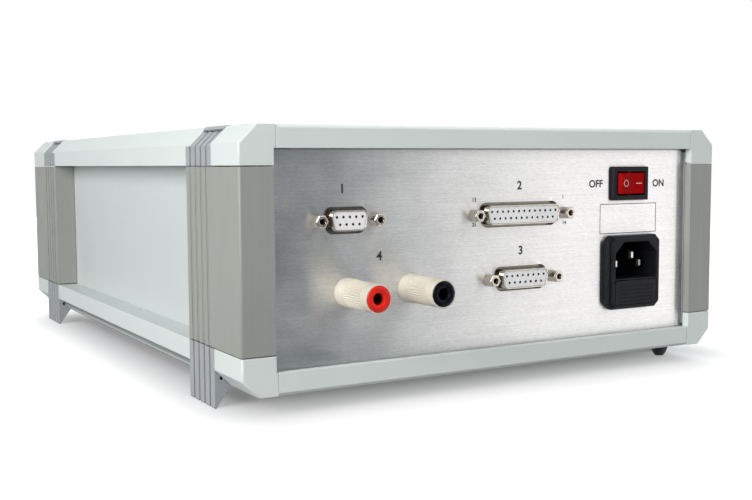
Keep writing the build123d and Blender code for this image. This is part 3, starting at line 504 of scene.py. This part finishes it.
# The top and bottom covers are the same sheet, let in flush between the side rails. Four low
# zinc-plated screws hold the bottom one.
zinc_colour = (0.62, 0.63, 0.64)
zinc_roughness = 0.34
sharp_above = radians(30)

for name in ("top_cover", "bottom_cover"):
    ease(name, sheet_finish, sheet_edge)


def plated(name, colour, roughness):
    """Plated metal: bright, with a fine unevenness and small dull patches."""
    finish = make_finish(name, colour, roughness, Metallic=1.0)
    mottle(finish, size=1.5 * mm, low=0.93, high=1.04)
    patchy_gloss(finish, size=0.8 * mm, low=roughness - 0.07, high=roughness + 0.09)
    grain(finish, size=0.3 * mm, depth=0.004 * mm)
    return finish


def smooth_node(node, finish):
    """A node whose shape is right as it is: it only gets its finish and soft shading."""
    piece = frame["nodes"][node]
    piece.data.shade_smooth()
    piece.data.set_sharp_from_angle(angle=sharp_above)
    dress(piece, finish)


zinc_finish = plated("zinc_plate", zinc_colour, zinc_roughness)
smooth_node("cover_screws", zinc_finish)

# One black rubber bumper is stuck on under the rear left corner. It narrows to a blunt tip and has
# the dull bloom of plain moulded rubber.
rubber_colour = (0.022, 0.022, 0.024)
rubber_roughness = 0.62

rubber_finish = make_finish("black_rubber", rubber_colour, rubber_roughness)
mottle(rubber_finish, size=2 * mm, low=0.8, high=1.3)
patchy_gloss(rubber_finish, size=1.2 * mm, low=0.5, high=0.72)
grain(rubber_finish, size=0.25 * mm, depth=0.02 * mm)
smooth_node("rubber_bumper", rubber_finish)

# The rear panel is a 2 mm aluminium sheet, brushed from side to side and left bare under a clear
# coat. Long fine scratches run across it, and the sheet is slightly cloudy where it was wiped.
brushed_colour = (0.78, 0.78, 0.785)
brushed_roughness = 0.31
rail_shadow_width = 0.7 * mm
rail_shadow_tone = 0.25

brushed_finish = make_finish(
    "brushed_aluminium", brushed_colour, brushed_roughness, Metallic=1.0,
    Anisotropic=0.95, Anisotropic_Rotation=0.25, Coat_Weight=0.12, Coat_Roughness=0.3,
)
fine_scratches = blotches(brushed_finish, size=0.16 * mm, stretch=(140, 1, 1), detail=3.0)
broad_scratches = blotches(brushed_finish, size=0.7 * mm, stretch=(60, 1, 1), detail=2.0)
wiped_clouds = blotches(brushed_finish, size=14 * mm, stretch=(1.6, 1, 1), detail=4.0)
short_scratches = blotches(brushed_finish, size=0.16 * mm, stretch=(9, 1, 1), detail=2.0)
for marks, low_tone, high_tone in (
    (fine_scratches, 0.93, 1.04), (short_scratches, 0.86, 1.07),
    (broad_scratches, 0.97, 1.02), (wiped_clouds, 0.93, 1.03),
):
    shade(brushed_finish, spread(brushed_finish, marks, low_tone, high_tone))
polish(brushed_finish, spread(brushed_finish, wiped_clouds, low=0.28, high=0.35))
relief(brushed_finish, fine_scratches, depth=0.0035 * mm)
# Painted shade darkens the panel around the parts that stand out of it and along its edges.
paint_crevice_shade(brushed_finish, reach=1.2 * mm, tone=0.75)
# Painted shadow: a dark line along the panel's top edge, under the rail's lip.
opening_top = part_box("rail_rear_top")[0].z
paint_shade_along(brushed_finish, "Z", opening_top - rail_shadow_width, opening_top, rail_shadow_tone)
brushed_recipe = brushed_finish.node_tree
brushing = add_node(brushed_recipe, "Tangent", "Tangent", direction_type="RADIAL", axis="Z")
brushed_recipe.links.new(brushing, brushed_recipe.nodes["Principled BSDF"].inputs["Tangent"])
dress(frame["nodes"]["rear_panel"], brushed_finish)

# A soft grey strip is pressed into the slot of each rear post, in front of the panel's end, and
# keeps the panel from rattling. It is extruded rubber with a rounded nose.
strip_colour = (0.30, 0.30, 0.32)
strip_roughness = 0.55
strip_width = 1.8
strip_thickness = 1.0
strip_setback = 0.05
strip_end = 4 * mm
strip_outline = ((0, 0.2), (0.15, 0), (1, 0), (1, 1), (0.15, 1), (0, 0.8))


def band(count):
    """The faces between two outlines, each with the given number of points."""
    return [(i, (i + 1) % count, count + (i + 1) % count, count + i) for i in range(count)]


def add_on(piece, finish, node):
    """The piece is a detail of a node: it takes a finish and rides where the node rides."""
    dress(piece, finish)
    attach(piece, body_of(node))


strip_finish = satin_moulding("strip_rubber", strip_colour, strip_roughness, shine=0.3)
panel_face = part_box("rear_panel")[1].y
panel_low, panel_high = (corner.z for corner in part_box("rear_panel"))
opening_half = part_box("corner_rear_right_top")[0].x / mm
for side, name in ((1, "panel_strip_right"), (-1, "panel_strip_left")):
    outline = [
        (
            side * (opening_half + strip_setback + strip_width * deep) * mm,
            panel_face + (strip_setback + strip_thickness * out) * mm,
        )
        for deep, out in strip_outline[::side]
    ]
    count = len(outline)
    levels = (panel_low + strip_end, panel_high - strip_end)
    points = [(x, y, z) for z in levels for x, y in outline]
    faces = [*band(count), range(count - 1, -1, -1), range(count, 2 * count)]
    strip = add_to_scene(name, make_mesh(name, points, faces))
    add_on(strip, strip_finish, "rear_panel")

# The marks on the rear panel are screen printed in black ink: four contact numbers of the long
# socket, a plain number for each socket and for the terminals, ON and OFF beside the switch, and
# an empty ruled frame.
ink_rise = 0.03 * mm
ink_spread = 0.13 * mm
ink_colour = (0.02, 0.02, 0.022)
ink_roughness = 0.5
letter_steps = 6
well_behind = 1.0
contact_number_height = 1.5 * mm
port_number_height = 3.4 * mm
switch_word_height = 3.1 * mm
capital_share = 0.69
contact_numbers = {
    "13": (13.8, 78.7), "25": (13.8, 68.5), "1": (-32.9, 79.1), "14": (-33.7, 67.9),
}
port_numbers = {"1": (75.0, 84.2), "2": (-9.4, 84.2), "3": (-10.2, 56.8), "4": (58.8, 57.8)}
switch_words = {"OFF": (-51.5, 84.2), "ON": (-88.9, 84.1)}
plate_left, plate_right, plate_low, plate_high = -54.0, -87.7, 62.0, 75.3
plate_rule = 0.3

ink_finish = make_finish("black_ink", ink_colour, ink_roughness)
mottle(ink_finish, size=0.3 * mm, low=0.8, high=1.4)


def print_mark(name, mesh, finish, x, z, node="rear_panel", slot="brushed_panel", rise=ink_rise):
    """Lays a flat mark, drawn as seen from behind, on a node's surface and square to it."""
    mark = add_to_scene(name, mesh)
    surface = frame["nodes"][node]
    _, place, outward, _ = surface.ray_cast((x * mm, well_behind, z * mm), (0, -1, 0))
    across = (Vector((-1, 0, 0)) + outward * outward.x).normalized()
    turn = Matrix((across, outward.cross(across), outward)).transposed().to_4x4()
    mark.matrix_world = Matrix.Translation(place + outward * rise) @ turn
    add_on(mark, finish, node)


def print_word(name, word, x, z, height):
    """Plain letters or figures, centred on the given place."""
    letters = bpy.data.curves.new(name, "FONT")
    letters.body = word
    letters.offset = ink_spread * height / switch_word_height
    letters.size = height / capital_share
    letters.align_x = "CENTER"
    letters.align_y = "CENTER"
    letters.resolution_u = letter_steps
    drawn = bpy.data.objects.new(name, letters)
    mesh = bpy.data.meshes.new_from_object(drawn)
    bpy.data.objects.remove(drawn)
    print_mark(name, mesh, ink_finish, x, z)


def flat_ring(name, outline, inner_outline):
    """A flat frame between two outlines with the same number of points, in millimetres."""
    points = [(x * mm, y * mm, 0) for x, y in [*outline, *inner_outline]]
    return make_mesh(name, points, band(len(outline)))


def rectangle(width, height):
    """The outline of a rectangle about its middle."""
    return [
        (-width / 2, -height / 2), (width / 2, -height / 2),
        (width / 2, height / 2), (-width / 2, height / 2),
    ]


for number, (x, z) in contact_numbers.items():
    print_word(f"contact_number_{number}", number, x, z, contact_number_height)
for number, (x, z) in port_numbers.items():
    print_word(f"port_number_{number}", number, x, z, port_number_height)
for word, (x, z) in switch_words.items():
    print_word(f"switch_word_{word.lower()}", word, x, z, switch_word_height)

plate_width = plate_left - plate_right
plate_height = plate_high - plate_low
plate_x = (plate_left + plate_right) / 2
plate_z = (plate_low + plate_high) / 2
plate_border = flat_ring(
    "plate_border", rectangle(plate_width, plate_height),
    rectangle(plate_width - 2 * plate_rule, plate_height - 2 * plate_rule),
)
print_mark("plate_border", plate_border, ink_finish, plate_x, plate_z)

# The three plug sockets each have a pressed, nickel-plated steel shell, a D-shaped sleeve that
# stands out through the panel from a flange behind it. The nickel has a slight yellow cast.
nickel_colour = (0.66, 0.61, 0.53)
nickel_roughness = 0.17
shell_edge = 0.12 * mm
shadow_depth = 1.6 * mm
shadow_tone = 0.35

nickel_finish = make_finish("nickel_plate", nickel_colour, nickel_roughness, Metallic=1.0)
mottle(nickel_finish, size=3 * mm, low=0.9, high=1.06)
patchy_gloss(nickel_finish, size=2 * mm, low=0.12, high=0.24)
# Painted shade darkens the shell behind the panel's face, in the gap round the sleeve.
paint_shade_along(nickel_finish, "Y", panel_face, panel_face - shadow_depth, shadow_tone)
for name in ("serial_shell", "auxiliary_shell", "probe_shell"):
    ease(name, nickel_finish, shell_edge)

# Inside each shell sits a white moulded insert with two rows of contact holes. A tinned spring
# sleeve lies a little way down each hole, coloured near black as painted shade down the hole.
insert_colour = (0.93, 0.93, 0.925)
insert_roughness = 0.36
insert_setback = 0.35
shaded_sleeve_colour = (0.06, 0.05, 0.035)
sleeve_roughness = 0.4
sleeve_steps = 14
sleeve_outline = (
    (0.545, -0.06), (0.535, -0.30), (0.52, -1.1), (0.30, -1.1), (0.27, -2.6), (0, -2.6),
)
contact_pitch = 2.77
contact_row_pitch = 2.84
contact_rows = {"serial_shell": (5, 4), "auxiliary_shell": (13, 12), "probe_shell": (8, 7)}
turning_sharp_above = radians(32)


def centre_of(node):
    """The middle of a node's box, in millimetres."""
    low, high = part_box(node)
    return (low + high) / 2 / mm


def turned(name, places, profile, steps=28, flutes=(0, 0, 0, 0)):
    """Revolves a (radius, reach) outline about a line out of the rear panel at each place.

    All sizes are in millimetres, and the reach counts from the panel's face. Flutes have a count
    and a depth, and run from one reach to another.
    """
    count, depth, fluted_from, fluted_to = flutes
    points, faces = [], []
    for x, z in places:
        first = len(points)
        for step in range(steps):
            turn = 2 * pi * step / steps
            for radius, reach in profile:
                if fluted_from <= reach <= fluted_to:
                    radius -= depth * (1 - cos(count * turn)) / 2
                across, up = x + radius * cos(turn), z + radius * sin(turn)
                points.append((across * mm, panel_face + reach * mm, up * mm))
        for step in range(steps):
            here = first + step * len(profile)
            there = first + (step + 1) % steps * len(profile)
            faces += [
                (here + i, here + i + 1, there + i + 1, there + i)
                for i in range(len(profile) - 1)
            ]
    mesh = make_mesh(name, points, faces)
    mesh.shade_smooth()
    mesh.set_sharp_from_angle(angle=turning_sharp_above)
    return add_to_scene(name, mesh)


insert_finish = satin_moulding("insert_plastic", insert_colour, insert_roughness)
smooth_node("connector_insulators", insert_finish)
sleeve_finish = make_finish("tinned_sleeve_painted_shade", shaded_sleeve_colour, sleeve_roughness, Metallic=0.6)
mottle(sleeve_finish, size=0.4 * mm, low=0.6, high=1.3)
insert_face = (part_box("serial_shell")[1].y - panel_face) / mm - insert_setback
sleeve_profile = [(radius, insert_face + reach) for radius, reach in sleeve_outline]
sleeve_places = []
for name, counts in contact_rows.items():
    centre = centre_of(name)
    for row, count in zip((1, -1), counts):
        row_z = centre.z + row * contact_row_pitch / 2
        sleeve_places += [
            (centre.x + (index - (count - 1) / 2) * contact_pitch, row_z)
            for index in range(count)
        ]
sleeves = turned("contact_sleeves", sleeve_places, sleeve_profile, sleeve_steps)
add_on(sleeves, sleeve_finish, "connector_insulators")

# A hexagonal jackscrew stands on each side of every shell and takes the plug's thumbscrew. It is
# turned from brass rod and nickel plated, and its bore is cut with a coarse thread.
screwlock_edge = 0.12 * mm
screwlock_spacings = {"serial_shell": 24.99, "auxiliary_shell": 47.04, "probe_shell": 33.32}
screwlock_reach = 5.3
# The bore's thread and floor are coloured near black: painted shade down the bore.
bore_shade_colour = (0.10, 0.09, 0.075)
bore_shade_roughness = 0.3
bore_radius = 1.24
thread_start = 0.35
thread_height = 0.2
thread_pitch = 0.64
thread_turns = 6
thread_steps = 24
thread_section = (
    (bore_radius, 0), (bore_radius - thread_height, thread_pitch / 2), (bore_radius, thread_pitch),
)
bore_floor = ((bore_radius, 1.6), (bore_radius - thread_height, 1.4), (0, 0.9))

ease("jackscrews", nickel_finish, screwlock_edge)
screwlock_places = []
for name, spacing in screwlock_spacings.items():
    centre = centre_of(name)
    screwlock_places += [(centre.x - spacing / 2, centre.z), (centre.x + spacing / 2, centre.z)]
# Painted shade for the thread and floor inside each jackscrew's bore.
bore_finish = plated("bore_painted_shade", bore_shade_colour, bore_shade_roughness)

points, faces = [], []
for x, z in screwlock_places:
    first = len(points)
    for step in range(thread_turns * thread_steps + 1):
        turn = 2 * pi * step / thread_steps
        reach = screwlock_reach - thread_start - thread_pitch * step / thread_steps
        for radius, drop in thread_section:
            across, up = x + radius * cos(turn), z + radius * sin(turn)
            points.append((across * mm, panel_face + (reach - drop) * mm, up * mm))
    for step in range(thread_turns * thread_steps):
        here = first + 3 * step
        faces += [(here, here + 1, here + 4, here + 3), (here + 1, here + 2, here + 5, here + 4)]
threads = add_to_scene("screwlock_threads", make_mesh("screwlock_threads", points, faces))
add_on(threads, bore_finish, "jackscrews")
floors = turned("screwlock_floors", screwlock_places, bore_floor)
add_on(floors, bore_finish, "jackscrews")

# Each coil terminal has a cream collar on the panel and a cream knob with fine flutes that screws
# along a brass stud. A glossy ring, rounded like a bead, fills the knob's mouth and gives the
# polarity, red or black.
cream_colour = (0.68, 0.64, 0.525)
cream_roughness = 0.34
red_colour = (0.80, 0.020, 0.010)
red_roughness = 0.2
black_colour = (0.004, 0.006, 0.010)
black_roughness = 0.12
brass_colour = (0.40, 0.27, 0.12)
brass_roughness = 0.28
ring_radius = 5.0
ring_bore = 2.15
ring_back = 21.0
ring_proud = 0.6
ring_steps = 64
bead_steps = 10
bead_depth = 1.0
bore_shadow = 1.5 * mm
bore_tone = 0.08
knob_radius = 5.5
knob_waist = 5.35
knob_back_bore = 4.4
knob_start = 5.5
knob_edge = 0.2
flute_count = 36
flute_depth = 0.3
flute_start = 6.4
flute_end = 19.0
flute_blend = 0.3
steps_per_flute = 4
waist_start = 1.2
waist_end = 2.6
lip_width = 1.0

cream_finish = satin_moulding("cream_plastic", cream_colour, cream_roughness)
red_finish = make_finish("red_gloss", red_colour, red_roughness, Specular_IOR_Level=0.16)
black_finish = make_finish("black_gloss", black_colour, black_roughness, Specular_IOR_Level=0.07)
for gloss in (red_finish, black_finish):
    mottle(gloss, size=3 * mm, low=0.94, high=1.03)
    patchy_gloss(gloss, size=1.5 * mm, low=0.09, high=0.17)
brass_finish = plated("turned_brass", brass_colour, brass_roughness)
smooth_node("terminal_studs", brass_finish)
smooth_node("terminal_collars", cream_finish)

ring_front = (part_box("red_ring")[1].y - panel_face) / mm
knob_mouth = ring_front - ring_proud
knob_profile = (
    (knob_back_bore, knob_start),
    (knob_radius - knob_edge, knob_start), (knob_radius, knob_start + knob_edge),
    (knob_radius, flute_start - flute_blend), (knob_radius, flute_start),
    (knob_radius, flute_end), (knob_radius, flute_end + flute_blend),
    (knob_waist, flute_end + waist_start), (knob_waist, knob_mouth - waist_end),
    (knob_radius, knob_mouth - lip_width),
    (knob_radius, knob_mouth - knob_edge), (knob_radius - knob_edge, knob_mouth),
    (ring_radius, knob_mouth), (ring_radius, ring_back),
)
knob_steps = steps_per_flute * flute_count
knob_flutes = (flute_count, flute_depth, flute_start, flute_end)
bead_middle = (ring_radius + ring_bore) / 2
bead_half = (ring_radius - ring_bore) / 2
crown = ring_front - bead_depth
bead_profile = [(ring_radius, ring_back)]
for step in range(bead_steps + 1):
    turn = pi * step / bead_steps
    bead_profile.append((bead_middle + bead_half * cos(turn), crown + bead_depth * sin(turn)))
bead_profile.append((ring_bore, ring_back))
crown_y = panel_face + crown * mm
for colour, finish in (("red", red_finish), ("black", black_finish)):
    # Painted shade darkens each ring's bore behind the bead's crown.
    paint_shade_along(finish, "Y", crown_y, crown_y - bore_shadow, bore_tone)
    centre = centre_of(f"{colour}_ring")
    place = [(centre.x, centre.z)]
    knob = turned(f"{colour}_knob_fluted", place, knob_profile, knob_steps, knob_flutes)
    stand_in(knob, f"{colour}_knob", cream_finish)
    ring = turned(f"{colour}_ring_bead", place, bead_profile, ring_steps)
    stand_in(ring, f"{colour}_ring", finish)

# The mains switch is a black housing with a red rocker that tips about a pin. The rocker is
# pressed in at the ON end, and its circle and line are printed in white.
switch_colour = (0.010, 0.011, 0.014)
switch_roughness = 0.38
switch_edge = 0.2 * mm
rocker_colour = (0.40, 0.003, 0.004)
rocker_roughness = 0.45
rocker_edge = 0.25 * mm
rocker_gap = (0, 0, 0.3 * mm)
white_colour = (0.86, 0.70, 0.70)
mark_rise = 3 * ink_rise
circle_place = (-66.6, 84.4)
circle_radius = 1.55
circle_stroke = 0.3
circle_steps = 40
circle_stretch = 1.25
line_place = (-75.4, 84.3)
line_length = 3.6
line_stroke = 0.34

switch_finish = satin_moulding("switch_plastic", switch_colour, switch_roughness, shine=0.16)
rocker_finish = make_finish(
    "rocker_plastic", rocker_colour, rocker_roughness, Specular_IOR_Level=0.02,
)
mottle(rocker_finish, size=5 * mm, low=0.92, high=1.04)
patchy_gloss(rocker_finish, size=2 * mm, low=0.4, high=0.5)
white_ink = make_finish("white_mark", white_colour, ink_roughness)
mottle(white_ink, size=0.4 * mm, low=0.9, high=1.05)


def oval(radius):
    """The outline of the OFF circle, which is stretched sideways."""
    turns = [2 * pi * step / circle_steps for step in range(circle_steps)]
    return [(radius * circle_stretch * cos(turn), radius * sin(turn)) for turn in turns]


off_mark = flat_ring("off_circle", oval(circle_radius), oval(circle_radius - circle_stroke))
line_corners = [(x * mm, y * mm, 0) for x, y in rectangle(line_length, line_stroke)]
on_mark = make_mesh("on_line", line_corners, [(0, 1, 2, 3)])
for mark, place in ((off_mark, circle_place), (on_mark, line_place)):
    print_mark(mark.name, mark, white_ink, *place, "switch_rocker", "rocker_red", mark_rise)
ease("switch_housing", switch_finish, switch_edge)
ease("switch_rocker", rocker_finish, rocker_edge, short=rocker_gap)

# The mains inlet is one black moulding with a deep plug recess above a fuse drawer. Three flat
# plated blades stand in the recess, the middle one further out than the other two.
inlet_colour = (0.009, 0.011, 0.014)
inlet_roughness = 0.36
inlet_edge = 0.25 * mm
drawer_edge = 0.15 * mm
tip_colour = (0.82, 0.82, 0.78)
tip_roughness = 0.42
# A darker copy of the plating: painted shade on the blades' sides in the recess.
shaded_blade_colour = (0.20, 0.18, 0.09)
shaded_blade_roughness = 0.36
blade_width = 2.0
blade_height = 4.0
blade_taper = 1.2
blade_tip_width = 1.2
blade_tip_height = 2.8
blade_cut = 0.3
line_blade_drop = 2.7
facing_out = 0.9

inlet_finish = satin_moulding("inlet_plastic", inlet_colour, inlet_roughness, shine=0.15)
tip_finish = plated("blade_plate", tip_colour, tip_roughness)
shaded_blade_finish = plated("blade_plate_painted_shade", shaded_blade_colour, shaded_blade_roughness)
ease("inlet_housing", inlet_finish, inlet_edge)
ease("fuse_drawer", inlet_finish, drawer_edge)


def cut_corners(width, height):
    """A blade's outline, a rectangle with its four corners cut off."""
    x, z, cut = width / 2, height / 2, blade_cut
    return [
        (-x, cut - z), (cut - x, -z), (x - cut, -z), (x, cut - z),
        (x, z - cut), (x - cut, z), (cut - x, z), (-x, z - cut),
    ]


low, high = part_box("inlet_blades")
shank_outline = cut_corners(blade_width, blade_height)
tip_outline = cut_corners(blade_tip_width, blade_tip_height)
sides = len(shank_outline)
line_blade_z = low.z / mm + blade_height / 2
line_blade_tip = high.y / mm - line_blade_drop
blade_tips = [
    ((low.x + high.x) / 2 / mm, high.z / mm - blade_height / 2, high.y / mm),
    (high.x / mm - blade_width / 2, line_blade_z, line_blade_tip),
    (low.x / mm + blade_width / 2, line_blade_z, line_blade_tip),
]
points, faces = [], []
for x, z, tip in blade_tips:
    first = len(points)
    for y, outline in (
        (low.y / mm, shank_outline), (tip - blade_taper, shank_outline), (tip, tip_outline),
    ):
        points += [((x + across) * mm, y * mm, (z + up) * mm) for across, up in outline]
    faces.append(range(first, first + sides))
    faces.append(range(first + 3 * sides - 1, first + 2 * sides - 1, -1))
    for start in (first, first + sides):
        faces += [
            (start + i, start + sides + i, start + sides + (i + 1) % sides, start + (i + 1) % sides)
            for i in range(sides)
        ]
blades = add_to_scene("blades", make_mesh("blades", points, faces))
stand_in(blades, "inlet_blades", shaded_blade_finish)
# Only the faces that look out show the plating's own colour; the sides take the painted shade.
blades.data.materials.append(tip_finish)
for face in blades.data.polygons:
    face.material_index = int(face.normal.y > facing_out)

# The fuse is a small glass cartridge. It lies in the drawer, behind the drawer's front, and slides
# out with it.
fuse_colour = (0.8, 0.82, 0.82)
fuse_roughness = 0.1

fuse_finish = make_finish("fuse_glass", fuse_colour, fuse_roughness)
mottle(fuse_finish, size=2 * mm, low=0.95, high=1.02)
patchy_gloss(fuse_finish, size=1 * mm, low=0.07, high=0.14)
smooth_node("fuse", fuse_finish)

# Inside the case lie the main board on its brass pillars, the display board behind the front
# panel, and the mains transformer on its foot plate.
board_colour = (0.02, 0.12, 0.05)
board_roughness = 0.3
core_colour = (0.08, 0.07, 0.065)
core_roughness = 0.4
core_edge = 0.3 * mm

board_finish = satin_moulding("board_mask", board_colour, board_roughness)
for name in ("main_board", "display_board"):
    smooth_node(name, board_finish)
smooth_node("board_spacers", brass_finish)
core_finish = satin_moulding("core_varnish", core_colour, core_roughness)
ease("transformer", core_finish, core_edge)

# The front panel is the same brushed sheet. A tinted display window and four grey push keys are
# set into it.
window_colour = (0.02, 0.008, 0.008)
window_roughness = 0.08
window_edge = 0.1 * mm
push_key_colour = (0.30, 0.31, 0.33)
push_key_roughness = 0.42
push_key_edge = 0.2 * mm
push_key_count = 4

dress(frame["nodes"]["front_panel"], brushed_finish)
window_finish = make_finish("tinted_window", window_colour, window_roughness, Coat_Weight=0.6)
mottle(window_finish, size=9 * mm, low=0.85, high=1.15)
patchy_gloss(window_finish, size=3 * mm, low=0.06, high=0.12)
ease("display_window", window_finish, window_edge)
push_key_finish = satin_moulding("key_plastic", push_key_colour, push_key_roughness)
for index in range(push_key_count):
    ease(f"key_{index + 1}", push_key_finish, push_key_edge)
